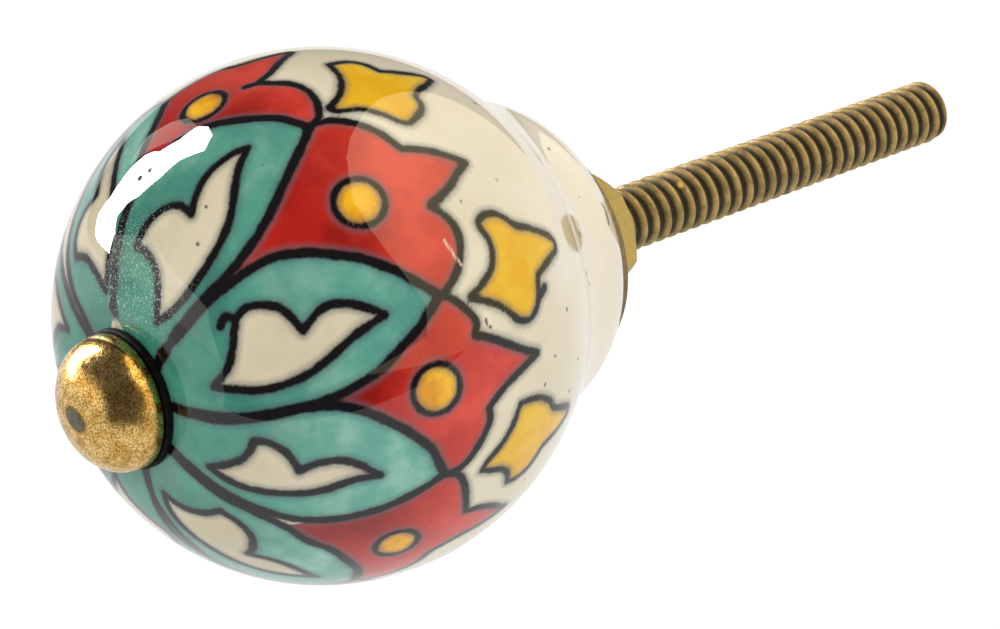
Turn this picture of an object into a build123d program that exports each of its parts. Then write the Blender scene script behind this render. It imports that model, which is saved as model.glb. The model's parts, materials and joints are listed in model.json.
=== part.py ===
from build123d import *
import os
from math import cos, radians, sin, tan

# A round glazed ceramic cabinet knob on a threaded brass rod, in the pose in which it is fitted:
# the rod runs along +Y into the furniture, the capped nose points to -Y, and +Z is up.
# The origin is the centre of the nut's outer face, where the free length of the rod begins.
# All sizes are in millimetres.

# Threaded rod
thread_diameter = 5.0
thread_pitch = 1.27
thread_mean_diameter = thread_diameter - 0.65 * thread_pitch
free_rod_length = 37.4
tip_round = 0.8

# Hexagon nut behind the foot
nut_width = 8.6
nut_thickness = 5.0
nut_turn = -10.5
nut_land_diameter = 8.3
nut_chamfer_angle = 30
nut_mouth_clearance = 0.15

# Thin washer between the nut and the foot
back_washer_diameter = 17.5
back_washer_thickness = 0.9
back_washer_edge = 0.3
washer_hole_clearance = 0.3

# Ceramic body: a ball with a flattened nose, a soft waist and a rounded foot.
# It is made by hand, so the ball and the foot each sit a little to one side of the bore.
body_diameter = 38.0
nose_flattening = 1.7
nose_land_diameter = 10.8
nose_shoulder_angle = 38
foot_projection = 1.5
foot_diameter = 24.7
foot_crest_height = 6.2
foot_neck_diameter = 22.7
foot_neck_height = 10.0
foot_land_diameter = 18.7
waist_round = 11.0
glazed_edge_round = 0.4
bore_clearance = 1.3
ball_shift = -0.45
ball_lift = 0.7
foot_shift = -0.4
foot_lift = 0.35

# Soft washer under the cap
cushion_diameter = 9.9
cushion_thickness = 0.6

# Domed cap nut on the nose
cap_diameter = 9.6
cap_rim_height = 0.7
cap_dome_height = 3.45
cap_hole_depth = 2.9
cap_rim_round = 0.25
rod_end_gap = 0.3

thread_radius = thread_diameter / 2
thread_mean_radius = thread_mean_diameter / 2
body_radius = body_diameter / 2
bore_radius = thread_radius + bore_clearance / 2
washer_hole_radius = thread_radius + washer_hole_clearance / 2

# Stations along the axis, counted from the nut's outer face towards the nose
foot_face = -(nut_thickness + back_washer_thickness)
body_centre = foot_face - foot_projection - body_radius
nose_face = body_centre - body_radius + nose_flattening
cap_seat = nose_face - cushion_thickness
cap_hole_end = cap_seat - cap_hole_depth
rod_end = cap_hole_end + rod_end_gap

os.makedirs("parts", exist_ok=True)


# Ceramic body: the ball and the foot are each turned about an axis of their own,
# the waist between them is rounded, and the bore follows the axis of the rod
shoulder_angle = radians(nose_shoulder_angle)
shoulder = (
    body_radius * sin(shoulder_angle),
    body_centre - body_radius * cos(shoulder_angle),
)
ball_plane = Plane(origin=(ball_shift, 0, ball_lift))
ball_axis = Axis((ball_shift, 0, ball_lift), (0, 1, 0))
foot_plane = Plane(origin=(foot_shift, 0, foot_lift))
foot_axis = Axis((foot_shift, 0, foot_lift), (0, 1, 0))

with BuildPart() as ceramic_body:
    with BuildSketch(ball_plane):
        with BuildLine():
            nose_land = Line((0, nose_face), (nose_land_diameter / 2, nose_face))
            TangentArc(
                shoulder,
                nose_land @ 1,
                tangent=(-cos(shoulder_angle), -sin(shoulder_angle)),
            )
            ball = CenterArc(
                (0, body_centre),
                body_radius,
                start_angle=nose_shoulder_angle - 90,
                arc_size=180 - nose_shoulder_angle,
            )
            Line(ball @ 1, nose_land @ 0)
        make_face()
    revolve(axis=ball_axis)
    with BuildSketch(foot_plane):
        with BuildLine():
            foot_side = ThreePointArc(
                (foot_neck_diameter / 2, foot_face - foot_neck_height),
                (foot_diameter / 2, foot_face - foot_crest_height),
                (foot_land_diameter / 2, foot_face),
            )
            Polyline(
                foot_side @ 1,
                (0, foot_face),
                (0, foot_face - foot_neck_height),
                foot_side @ 0,
            )
        make_face()
    revolve(axis=foot_axis)
    waist = ceramic_body.edges(Select.NEW)
    fillet(waist, radius=waist_round)
    foot_rim = ceramic_body.faces().sort_by(Axis.Y)[-1].edges()
    fillet(foot_rim, radius=glazed_edge_round)
    with BuildSketch(Plane.XZ.offset(-foot_face)):
        Circle(bore_radius)
    extrude(until=Until.LAST, mode=Mode.SUBTRACT)
ceramic_body.part.label = "ceramic_body"
export_step(ceramic_body.part, "parts/ceramic_body.step")


# Soft washer, gripped between the nose and the cap
with BuildPart() as cushion_washer:
    with BuildSketch(Plane.XZ.offset(-nose_face)):
        Circle(cushion_diameter / 2)
        Circle(washer_hole_radius, mode=Mode.SUBTRACT)
    extrude(amount=cushion_thickness)
cushion_washer.part.label = "cushion_washer"
export_step(cushion_washer.part, "parts/cushion_washer.step")


# Domed cap with a blind hole for the end of the rod
with BuildPart() as domed_cap:
    with BuildSketch(Plane.XY):
        with BuildLine():
            cap_side = Line((cap_diameter / 2, cap_seat), (cap_diameter / 2, cap_seat - cap_rim_height))
            dome = EllipticalCenterArc(
                (0, cap_seat - cap_rim_height),
                cap_diameter / 2,
                cap_dome_height,
                start_angle=-90,
                arc_size=90,
            )
            Polyline(
                dome @ 0,
                (0, cap_hole_end),
                (thread_mean_radius, cap_hole_end),
                (thread_mean_radius, cap_seat),
                cap_side @ 0,
            )
        make_face()
    revolve(axis=Axis.Y)
    cap_rim = domed_cap.faces().sort_by(Axis.Y)[-1].edges().sort_by(SortBy.LENGTH)[-1]
    fillet(cap_rim, radius=cap_rim_round)
domed_cap.part.label = "domed_cap"
export_step(domed_cap.part, "parts/domed_cap.step")


# Threaded rod: the mean diameter of its thread where the cap and the nut hold it,
# and the full diameter over the free length, with a rounded tip
with BuildPart() as threaded_rod:
    with BuildSketch(Plane.XY):
        with BuildLine():
            Polyline(
                (0, rod_end),
                (thread_mean_radius, rod_end),
                (thread_mean_radius, 0),
                (thread_radius, 0),
                (thread_radius, free_rod_length),
                (0, free_rod_length),
                close=True,
            )
        make_face()
    revolve(axis=Axis.Y)
    tip_edge = threaded_rod.faces().sort_by(Axis.Y)[-1].edges()
    fillet(tip_edge, radius=tip_round)
threaded_rod.part.label = "threaded_rod"
export_step(threaded_rod.part, "parts/threaded_rod.step")


# Thin washer that spreads the nut's grip over the foot
with BuildPart() as back_washer:
    with BuildSketch(Plane.XZ.offset(-foot_face)):
        Circle(back_washer_diameter / 2)
        Circle(washer_hole_radius, mode=Mode.SUBTRACT)
    extrude(amount=-back_washer_thickness)
    washer_rim = back_washer.faces().sort_by(Axis.Y)[-1].edges().sort_by(SortBy.LENGTH)[-1]
    fillet(washer_rim, radius=back_washer_edge)
back_washer.part.label = "back_washer"
export_step(back_washer.part, "parts/back_washer.step")


# Hexagon nut, its outer corners turned off to a round land and the mouths of its thread opened out
nut_corner_radius = nut_width / 2 / cos(radians(30))
nut_land_radius = nut_land_diameter / 2
chamfer_depth = (nut_corner_radius - nut_land_radius) * tan(radians(nut_chamfer_angle))
mouth_chamfer = thread_radius + nut_mouth_clearance - thread_mean_radius

with BuildPart() as hex_nut:
    with BuildSketch(Plane.XZ):
        RegularPolygon(nut_width / 2, 6, major_radius=False, rotation=nut_turn)
        Circle(thread_mean_radius, mode=Mode.SUBTRACT)
    extrude(amount=nut_thickness)
    thread_mouths = hex_nut.edges().filter_by(GeomType.CIRCLE)
    chamfer(thread_mouths, length=mouth_chamfer)
    with BuildSketch(Plane.XY):
        with BuildLine():
            Polyline(
                (nut_land_radius, 0),
                (nut_corner_radius, 0),
                (nut_corner_radius, -chamfer_depth),
                close=True,
            )
        make_face()
    revolve(axis=Axis.Y, mode=Mode.SUBTRACT)
hex_nut.part.label = "hex_nut"
export_step(hex_nut.part, "parts/hex_nut.step")
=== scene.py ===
import json
from math import acos, atan2, cos, hypot, pi, radians, sin, sqrt

import bpy
import numpy as np
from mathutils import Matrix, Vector

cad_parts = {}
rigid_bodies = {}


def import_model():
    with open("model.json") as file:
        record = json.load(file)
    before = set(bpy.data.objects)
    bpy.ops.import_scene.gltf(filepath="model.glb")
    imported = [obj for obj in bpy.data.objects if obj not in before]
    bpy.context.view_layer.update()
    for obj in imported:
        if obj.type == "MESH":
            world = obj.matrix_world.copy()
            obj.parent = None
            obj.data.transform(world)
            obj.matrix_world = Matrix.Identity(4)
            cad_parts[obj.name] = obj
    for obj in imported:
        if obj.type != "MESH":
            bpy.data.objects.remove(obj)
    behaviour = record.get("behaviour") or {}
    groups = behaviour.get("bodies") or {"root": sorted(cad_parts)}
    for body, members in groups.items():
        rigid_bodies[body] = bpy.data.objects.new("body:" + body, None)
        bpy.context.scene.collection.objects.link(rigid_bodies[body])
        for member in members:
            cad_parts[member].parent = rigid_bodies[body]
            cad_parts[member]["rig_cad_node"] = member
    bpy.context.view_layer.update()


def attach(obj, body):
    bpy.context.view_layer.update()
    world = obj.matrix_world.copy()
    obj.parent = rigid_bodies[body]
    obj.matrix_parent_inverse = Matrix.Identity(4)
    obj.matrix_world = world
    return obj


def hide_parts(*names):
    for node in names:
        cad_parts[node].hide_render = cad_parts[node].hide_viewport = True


# A painted and glazed ceramic cabinet knob on a threaded brass rod.
# The rod runs along +Y, the capped nose points to -Y and +Z is up. Blender works in metres;
# the sizes below are in millimetres and are turned into metres where a mesh is made.

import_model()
MM = 0.001

# Ceramic body, as stations along the rod and radii
BALL_RADIUS = 19.0
BALL_CENTRE = Vector((-0.45, -26.4, 0.7))
FOOT_AXIS = (-0.4, 0.35)
NOSE_FACE = -43.7
NOSE_LAND = 5.4
NOSE_SHOULDER = radians(38)
FOOT_FACE = -5.9
FOOT_POINTS = [(11.35, -15.9), (12.35, -12.1), (9.35, FOOT_FACE)]
FOOT_RIM = 0.4
WAIST_ROUND = 11.0
BODY_BORE = 3.15

# Small rounds, as shares of their size: where their middle point lies in from the corner, and on the
# foot's rim how far ahead of the face it starts and has its middle point
ROUND_MIDDLE = 0.3
FOOT_RIM_START = 0.6
FOOT_RIM_MIDDLE = 0.15

# Cap and cushion on the nose
CAP_SEAT = -44.3
CAP_RADIUS = 4.8
CAP_RIM_HEIGHT = 0.7
CAP_RIM_ROUND = 0.25
CAP_DOME_HEIGHT = 3.45
CAP_HOLE_RADIUS = 2.08
CAP_HOLE_DEPTH = 2.9
CAP_PINHOLE = 0.03
CUSHION_RADIUS = 4.95
CUSHION_EDGE = 0.12

# Washer and rod behind the foot. Within its first step the thread opens out from the plain core
WASHER_BACK = -5.0
WASHER_RADIUS = 8.75
WASHER_HOLE = 2.65
WASHER_EDGE = 0.3
WASHER_CORNER = 0.1
NUT_FACE = 0.0
ROD_START = -46.9
ROD_END = 37.4
THREAD_RADIUS = 2.5
THREAD_DEPTH = 0.5
THREAD_PITCH = 1.27
THREAD_START = -5.0
THREAD_STEP = 0.1
ROD_CORE = 2.07
TIP_ROUND = 0.8

# Fineness of the meshes: rows along each profile, and segments round each piece
NOSE_ROWS = 40
BALL_ROWS = 130
WAIST_ROWS = 16
FOOT_ROWS = 18
DOME_ROWS = 60
ROWS_A_TURN = 14
BODY_SEGMENTS = 440
CAP_SEGMENTS = 256
CUSHION_SEGMENTS = 128
WASHER_SEGMENTS = 160
ROD_SEGMENTS = 72

# Small faults seen in the photo: a bright nick on the thread as (station, turn from the top),
# an oval grey spot on the top of the cap's dome, as (x, z), turn and half sizes, and cracks by its rim
NICK = (7.4, radians(34))
NICK_SIZE = 0.4
NICK_DEPTH = 0.2
CAP_SPOT = (0.2, -0.04)
CAP_SPOT_TURN = radians(-19)
CAP_SPOT_SIZE = (1.19, 0.85)
CAP_CRACKS = [
    [(-0.54, -45.74, 4.66), (-1.03, -45.16, 4.68)],
    [(0.19, -45.48, 4.75), (1.06, -45.39, 4.65), (1.9, -45.29, 4.39)],
    [(2.52, -45.03, 4.08), (3.07, -45.05, 3.69)],
]

# Photo's camera
CAMERA_POSITION = Vector((179.55, -173.4, 104.7))
CAMERA_AZIMUTH = 47.66
CAMERA_ELEVATION = 24.12
CAMERA_LENS = 129.6

# The photo's side of the knob, as an angle about the rod from +X towards +Z
FRONT_ANGLE = 31.2

# Painted pattern, laid out on a flat plan seen from the nose. Each number is in degrees of arc
# on the ball: the first towards the photo's side, the second downwards. A point given twice is
# a corner. Each outline runs along the middle of its dark line.
PETALS = [
    [(-4, -14), (-7, -20), (-10, -28), (-12, -36), (-12.5, -44), (-11.5, -52), (-8, -60), (-2, -66),
     (5.3, -68.2), (5.3, -68.2), (9, -63.5), (11.2, -58), (12.3, -52), (13.2, -45), (13.2, -37), (11, -28),
     (8, -20), (5, -13)],
    [(6, -14), (9, -21), (11.5, -28), (13.4, -35), (16, -43), (21, -48.5), (27, -52), (33, -53.2),
     (41, -52.9), (48, -51.8), (55.8, -48), (55.8, -48), (55.3, -43), (53, -35), (49.5, -26.5),
     (45, -19.8), (38.6, -14.2), (34, -11.8), (25, -7), (14, -2)],
    [(12, -1), (25, -6), (36, -11.3), (47, -14.9), (54, -14.3), (60, -12), (66, -8.5), (71, -3.9),
     (75, 1.5), (78.6, 7.4), (78.6, 7.4), (72, 12.8), (66, 16), (60, 18.6), (50, 19.6), (39, 17.5),
     (27.5, 13.7), (12, 5.5)],
    [(8, 5), (19.2, 10.5), (25.8, 13.8), (32.3, 16.2), (39, 17.9), (45.4, 19.8), (50.5, 23), (54, 28),
     (56.8, 35.3), (57.8, 41.5), (57.3, 46.5), (54.4, 54), (54.4, 54), (48.6, 53.6), (42.7, 52.6),
     (35.5, 50.2), (28, 46), (22.5, 41), (18, 33.5), (14.2, 26), (10.7, 19), (6, 11)],
    [(7, 16), (10.7, 21.5), (14, 29), (17.5, 36), (19.6, 43), (19.2, 49), (19.8, 55), (17, 62),
     (12.5, 67.5), (3, 72.3), (3, 72.3), (-5, 69), (-10.5, 62), (-13.5, 54), (-14, 46), (-13.5, 38),
     (-10.5, 30), (-6.5, 23), (-2, 17)],
]
# How thinly the teal lies on each petal, from 0 to 1
PETAL_WASH = [0.9, 0.4, 0.5, 0.7, 0.8]
FAR_WASH = 0.5
LEAVES = [
    [(-3.4, -58.4), (-3.4, -58.4), (0.2, -55), (3.5, -48.5), (6.8, -40.5), (8.6, -34), (8.3, -27),
     (5.4, -20.6), (5.4, -20.6), (3.2, -24.5), (-0.5, -28.6), (-5.8, -30.3), (-5.8, -30.3), (-7.1, -34),
     (-5.8, -39.5), (-1.2, -43), (-1.2, -43), (-3.2, -47.5), (-4.3, -53)],
    [(42.8, -44), (42.8, -44), (38.6, -42.5), (34, -38.4), (32.2, -33.5), (31.6, -30), (31.6, -30),
     (28.5, -32.9), (24.4, -33.2), (20.5, -31.2), (17.4, -26.8), (17.4, -26.8), (20.4, -24.5),
     (22.4, -20), (21.8, -15), (19.6, -10.2), (19.6, -10.2), (24.4, -10.9), (30, -13.7), (36, -19.2),
     (39.8, -25), (41.2, -31.4), (41.5, -38)],
    [(28.3, 7), (28.3, 7), (33.4, 4), (37, -2), (38.2, -4.7), (38.2, -4.7), (41, -6.3), (45.1, -5.3),
     (48, -3), (50.2, 2.8), (50.2, 2.8), (54.4, -0.1), (57.4, -0.5), (61, 1), (64, 3.6), (66.4, 6.4),
     (66.4, 6.4), (59.7, 8.1), (54.4, 10.2), (48, 12.2), (41.6, 12.2), (36, 10.8)],
    [(16.6, 22.3), (16.6, 22.3), (20.5, 23.2), (24.6, 23.5), (27.7, 22.6), (30, 20.9), (30, 20.9),
     (32.5, 22.6), (34.2, 26.5), (33.6, 31.6), (33.6, 31.6), (38, 32), (42.5, 34.4), (44.6, 38),
     (45.6, 42.8), (45.6, 42.8), (41, 40.2), (34, 38.6), (28, 35.5), (22, 30.8), (18.5, 26.3)],
    [(-2.2, 24.6), (-2.2, 24.6), (0.5, 28.5), (5, 31.3), (10.4, 32.5), (10.4, 32.5), (11.5, 37), (10, 41.5),
     (6, 44.7), (2.4, 45.8), (2.4, 45.8), (4.8, 49), (6, 54), (3.6, 62.2), (3.6, 62.2), (-1.5, 56),
     (-4.5, 49.5), (-5.6, 41), (-5.4, 33), (-4.4, 28)],
]
# The back edge of each red flower runs from one petal's tip to the next
FLOWER_BACKS = [
    [(56.2, -48), (57.3, -51), (55.8, -56.1), (52, -61.5), (46, -65.2), (39.6, -66.3), (36.7, -66.8),
     (36.7, -66.8), (37.4, -71.5), (35.8, -78), (33.4, -84.6), (31, -86), (31, -86), (26.5, -82),
     (23, -79.3), (20.4, -78.2), (20.4, -78.2), (15.6, -78.4), (11, -75.5), (7.8, -71.5), (5.3, -67.8)],
    [(56, -48.5), (60, -49.6), (64, -48.8), (68.5, -46.8), (73, -43.4), (77.6, -38), (77.6, -38),
     (80.5, -37.8), (86, -36.2), (93.4, -32.3), (93.4, -32.3), (91, -28), (87.8, -22.8), (82.8, -18),
     (82.8, -18), (85.8, -14.2), (87.5, -9), (87.2, -4), (85.4, 1.2), (82, 5.5), (79, 7.6)],
    [(79, 7.6), (81, 10), (82.7, 14.5), (83.4, 19), (81.6, 22.3), (81.6, 22.3), (84.5, 26), (87.5, 31.5),
     (92, 41.3), (92, 41.3), (86, 41.7), (79, 43), (73.4, 45.2), (73.4, 45.2), (71.5, 48.8), (67, 52.3),
     (61.5, 55), (57.5, 55.7), (54.4, 54.3)],
    [(54.4, 54.3), (55.8, 57.5), (54.3, 61.5), (50.5, 66.8), (45.3, 72.3), (45.3, 72.3), (46.9, 76),
     (46.4, 82), (43.1, 89.8), (43.1, 89.8), (38, 86), (32.5, 81.2), (25.2, 78.2), (25.2, 78.2),
     (19.5, 79.5), (12.5, 79), (7, 76.5), (3, 72.3)],
]
# Points that close each flower's red under the petals on its two sides
FLOWER_ROOTS = [
    [(9, -55), (14, -42), (30, -50)],
    [(70, 3), (55, -10), (40, -14), (47, -25), (52, -38)],
    [(54, 45), (52, 30), (46, 20), (60, 17), (72, 11)],
    [(12, 66), (18, 55), (19.5, 42), (35, 49)],
]
DOTS = [(25.2, -60.6, 4.8), (67.6, -23.3, 5.2), (67.8, 30.4, 5.2), (29.3, 65.4, 4.6)]
STARS = [
    [(50.6, -76), (50.6, -76), (54.5, -79), (59.5, -78.2), (64.8, -74.8), (64.8, -74.8), (70, -76.6),
     (75.5, -79), (78.6, -77.6), (78.6, -77.6), (79, -72), (78.3, -63), (80.6, -58), (81.1, -53.6),
     (79.3, -48.4), (76.5, -48.6), (72.1, -51.5), (66.4, -53.6), (61.5, -52.9), (58.9, -54), (58.9, -54),
     (60, -59), (59, -64.5), (56, -70)],
    [(93.2, -8.8), (94.3, -11.2), (97.1, -12), (100.3, -10), (103.5, -5.4), (103.5, -5.4), (108.2, -2.7),
     (112.9, 1.4), (115.5, 5.5), (114.8, 9.8), (111, 12), (104.5, 15.6), (104.5, 15.6), (103, 19),
     (101.2, 23.6), (98.9, 26.5), (96, 28.2), (93, 26), (91.5, 21), (89, 16.2), (84.7, 11.6), (84.7, 11.6),
     (89, 9.2), (92.4, 6), (94.4, 1), (94.5, -4)],
    [(59.1, 62.4), (59.1, 62.4), (62.5, 61), (68, 59.7), (73.5, 57.1), (79.4, 52.2), (79.4, 52.2),
     (82.2, 55), (84, 58.5), (84, 64), (82.8, 69), (83.4, 76), (82.6, 81), (80, 83.7), (80, 83.7),
     (75, 82.6), (69.4, 79.2), (69.4, 79.2), (65, 80.6), (60.8, 81), (57.8, 79.2), (56.8, 76.4),
     (56.8, 76.4), (60, 72.5), (61, 68.5)],
]
# Short strokes where the brush ran on: a hook on the front leaf, and two flicks
FLICKS = [
    [(34.6, -4.4), (36.3, -6), (38.2, -4.7)],
    [(36.7, -66.8), (34, -65.6)],
    [(101.2, 23.6), (104.8, 21.2)],
]
# A darker oval patch on the waist, then hair-thin marks, two pits and small specks in the glaze,
# a pale scratch, and the middle of the painted glints, pale specks of painted highlight, above the cap
DARK_WAIST_PATCH = [
    (124.2, -4.3), (129.9, -6), (135.9, -3.9), (135.4, 7.4), (134.4, 16.2), (131.7, 19.7), (125.6, 17.9),
    (122.5, 13.6), (122.3, 4.9),
]
MARKS = [
    [(135.6, 7.5), (135.6, 12.2)],
    [(149.6, -7.6), (150.1, 1.1), (148.7, 13.1)],
    [(128.8, 34.2), (127.3, 40.7), (126.6, 46.1)],
    [(85.7, 19.7), (85.4, 21.7), (85.9, 23.2)],
]
PITS = [(17.8, -44.2), (15.3, -42.9)]
PIT_RADIUS = 0.6
SPECK_POINTS = [
    (101.9, -24.4), (94.6, -70.4), (127.2, -66), (108.2, 36.6), (95.4, 48.7), (88.8, 72.2),
    (87.2, 54.9), (84.2, 65.5), (99.6, 64.7), (35, -30.9), (90.4, -17.6), (33.1, -23),
]
SPECK_RADIUS = 0.45
SCRATCH = [(83.9, -7.2), (84.8, -3.1), (85.6, 0.4), (86.3, 2.4)]
PAINTED_GLINT_MIDDLE = (16, -21)
# The pattern repeats eight times. On the far side it is copied from the front
PATTERN_MIDDLE = (5, 3)
FAR_MIDDLE = (0, 2.4)
FAR_PETAL_TURNS = (132, 178, 222)
FAR_FLOWER_TURNS = (133, 178, 222, 264)
FAR_STAR_TURNS = (88, 132, 176, 221, 264)

# Half widths of the dark lines, in degrees of arc
PETAL_LINE = 1.12
LEAF_LINE = 1.0
FLOWER_LINE = 1.0
DOT_LINE = 0.8
STAR_LINE = 0.86
MARK_LINE = 0.3


def smooth_curve(points, closed=False):
    """A smooth curve through the points; a point given twice makes a corner."""
    spacing, widest_share = 0.6, 0.5
    points = np.array(points, float)
    if closed:
        points = np.vstack([points[-1:], points, points[:2]])
    else:
        points = np.vstack([points[:1], points, points[-1:]])
    curve = []
    for before, start, end, after in zip(points, points[1:], points[2:], points[3:]):
        length = hypot(*(end - start))
        if length == 0:
            continue
        for t in np.arange(0, 1, min(spacing / length, widest_share)):
            curve.append(
                0.5 * (2 * start + (end - before) * t
                       + (2 * before - 5 * start + 4 * end - after) * t * t
                       + (3 * start - before - 3 * end + after) * t * t * t)
            )
    curve.append(points[-2])
    return np.array(curve)


def moved_round(points, turn):
    """A copy of plan points turned about the pattern's middle, for the far side of the ball."""
    c, s = cos(radians(turn)), sin(radians(turn))
    copy = []
    for x, y in points:
        x, y = x - PATTERN_MIDDLE[0], y - PATTERN_MIDDLE[1]
        copy.append((FAR_MIDDLE[0] + c * x - s * y, FAR_MIDDLE[1] + s * x + c * y))
    return copy


def plan_to_ball(plan):
    """Unit directions on the ball for plan points."""
    arc = np.radians(np.hypot(plan[:, 0], plan[:, 1]))
    turn = radians(FRONT_ANGLE) - np.arctan2(plan[:, 1], plan[:, 0])
    return np.stack([np.sin(arc) * np.cos(turn), -np.cos(arc), np.sin(arc) * np.sin(turn)], 1)


def ball_to_plan(directions):
    """Plan points, in degrees of arc, for unit directions."""
    arc = np.degrees(np.arccos(np.clip(-directions[:, 1], -1, 1)))
    turn = radians(FRONT_ANGLE) - np.arctan2(directions[:, 2], directions[:, 0])
    return np.stack([arc * np.cos(turn), arc * np.sin(turn)], 1)


def distance_to_point(directions, x, y):
    """Distance in degrees of arc from each direction to a plan point."""
    middle = plan_to_ball(np.array([(x, y)], float))[0]
    return np.degrees(np.arccos(np.clip(directions @ middle, -1, 1)))


def gap_to_line(points, line):
    """Distance from each point to a line of straight lengths."""
    line = np.array(line, float)
    best = np.full(len(points), np.inf)
    for start, end in zip(line, line[1:]):
        along = end - start
        size = along @ along
        if size == 0:
            continue
        gap = points - start
        gap -= np.clip(gap @ along / size, 0, 1)[:, None] * along
        best = np.minimum(best, np.sqrt((gap * gap).sum(1)))
    return best


def distance_to_curve(directions, curve):
    """Distance in degrees of arc from each direction to a curve on the ball."""
    return np.degrees(gap_to_line(directions, plan_to_ball(curve)))


def inside(plan, outline):
    """Which plan points lie inside a closed outline."""
    result = np.zeros(len(plan), bool)
    x, y = plan[:, 0], plan[:, 1]
    for (x0, y0), (x1, y1) in zip(outline, np.roll(outline, -1, 0)):
        if y0 == y1:
            continue
        crosses = ((y0 > y) != (y1 > y)) & (x < (x1 - x0) * (y - y0) / (y1 - y0) + x0)
        result ^= crosses
    return result


class Painting:
    """Distances from every point of the ball to the painted shapes, in degrees of arc."""

    REACH = 6.0

    def __init__(self, directions):
        self.directions = directions
        self.plan = ball_to_plan(directions)
        self.wash = np.zeros(len(directions))
        self.fields = {
            name: np.full(len(directions), self.REACH)
            for name in ("petal", "leaf", "flower", "dot", "star", "line", "patch", "mark", "pit", "scratch")
        }

    def near(self, curve):
        """The points of the ball that a shape can reach."""
        line = plan_to_ball(curve)
        middle = line.mean(0)
        middle /= np.linalg.norm(middle)
        spread = (line @ middle).min()
        reach = cos(min(acos(max(-1, min(1, spread))) + radians(self.REACH), pi))
        return np.nonzero(self.directions @ middle > reach)[0]

    def lower(self, name, chosen, values):
        """Keeps the smaller of the old and new distances."""
        self.fields[name][chosen] = np.minimum(self.fields[name][chosen], values)

    def fill(self, name, outline):
        """A filled shape; inside it the distances are below zero."""
        chosen = self.near(outline)
        closed = np.vstack([outline, outline[:1]])
        gap = distance_to_curve(self.directions[chosen], closed)
        gap[inside(self.plan[chosen], outline)] *= -1
        self.lower(name, chosen, np.clip(gap, -self.REACH, self.REACH))

    def stroke(self, curve, half_width, name="line"):
        """A brush line along a curve."""
        chosen = self.near(curve)
        gap = distance_to_curve(self.directions[chosen], curve) - half_width
        self.lower(name, chosen, gap)

    def outlined(self, name, points, half_width):
        """A filled shape with a dark line round it."""
        curve = smooth_curve(points, closed=True)
        self.fill(name, curve)
        self.stroke(np.vstack([curve, curve[:1]]), half_width)
        return curve

    def petal(self, points, wash):
        """A petal, with how thinly its teal lies."""
        curve = self.outlined("petal", points, PETAL_LINE)
        chosen = self.near(curve)
        self.wash[chosen[inside(self.plan[chosen], curve)]] = wash

    def flower(self, back, root):
        """A red flower, with a dark line only along its back."""
        curve = smooth_curve(back)
        self.fill("flower", np.vstack([curve, root]))
        self.stroke(curve, FLOWER_LINE)

    def disc(self, name, x, y, radius):
        """A round spot."""
        gap = distance_to_point(self.directions, x, y) - radius
        chosen = np.nonzero(gap < self.REACH)[0]
        self.lower(name, chosen, gap[chosen])
        return chosen, gap[chosen]

    def dot(self, x, y, radius):
        """A round spot with a dark line round it."""
        chosen, gap = self.disc("dot", x, y, radius)
        self.lower("line", chosen, np.abs(gap) - DOT_LINE)


def paint(directions):
    """The whole pattern: the five petals that face the photo as they are seen there, and copies behind."""
    painting = Painting(directions)
    for outline, wash in zip(PETALS, PETAL_WASH):
        painting.petal(outline, wash)
    for outline in LEAVES:
        painting.outlined("leaf", outline, LEAF_LINE)
    for back, root in zip(FLOWER_BACKS, FLOWER_ROOTS):
        painting.flower(back, root)
    for dot in DOTS:
        painting.dot(*dot)
    for outline in STARS:
        painting.outlined("star", outline, STAR_LINE)
    for flick in FLICKS:
        painting.stroke(smooth_curve(flick), LEAF_LINE)
    painting.fill("patch", smooth_curve(DARK_WAIST_PATCH, closed=True))
    for mark in MARKS:
        painting.stroke(smooth_curve(mark), MARK_LINE, "mark")
    for x, y in SPECK_POINTS:
        painting.disc("mark", x, y, SPECK_RADIUS)
    for x, y in PITS:
        painting.disc("pit", x, y, PIT_RADIUS)
    painting.stroke(smooth_curve(SCRATCH), MARK_LINE, "scratch")
    for turn in FAR_PETAL_TURNS:
        painting.petal(moved_round(PETALS[2], turn), FAR_WASH)
        painting.outlined("leaf", moved_round(LEAVES[2], turn), LEAF_LINE)
    for turn in FAR_FLOWER_TURNS:
        painting.flower(moved_round(FLOWER_BACKS[1], turn), moved_round(FLOWER_ROOTS[1], turn))
        x, y, radius = DOTS[1]
        painting.dot(*moved_round([(x, y)], turn)[0], radius)
    for turn in FAR_STAR_TURNS:
        painting.outlined("star", moved_round(STARS[1], turn), STAR_LINE)
    from_nose = np.hypot(painting.plan[:, 0], painting.plan[:, 1])
    return {**painting.fields, "wash": painting.wash, "from_nose": from_nose}


# Meshes


def arc_points(centre, radius, start, end, count):
    """Points on a circle in the profile's plane, as (radius from the axis, station)."""
    angles = np.linspace(start, end, count)
    return np.stack([centre[0] + radius * np.cos(angles), centre[1] + radius * np.sin(angles)], 1)


def circle_through(points):
    """Centre and radius of the circle through three points."""
    first = points[0]
    lines = 2 * (points[1:] - first)
    sums = (points[1:] ** 2).sum(1) - first @ first
    centre = np.linalg.solve(lines, sums)
    return centre, np.linalg.norm(first - centre)


def slope(point, centre):
    """The angle at which a point lies from a centre."""
    return atan2(point[1] - centre[1], point[0] - centre[0])


def grid_mesh(name, vertices, rows, segments, closed=False):
    """Quads between rings of points; the last ring joins the first, or both ends are covered."""
    ring = np.arange(segments)
    following = (ring + 1) % segments
    faces = []
    for row in range(rows if closed else rows - 1):
        here, there = row * segments, (row + 1) % rows * segments
        quads = np.stack([here + ring, here + following, there + following, there + ring], 1)
        faces.extend(quads.tolist())
    if not closed:
        faces.append(ring[::-1].tolist())
        faces.append((ring + (rows - 1) * segments).tolist())
    mesh = bpy.data.meshes.new(name)
    mesh.from_pydata((vertices * MM).tolist(), [], faces)
    mesh.polygons.foreach_set("use_smooth", [True] * len(mesh.polygons))
    mesh.set_sharp_from_angle(angle=radians(40))
    return mesh


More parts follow.
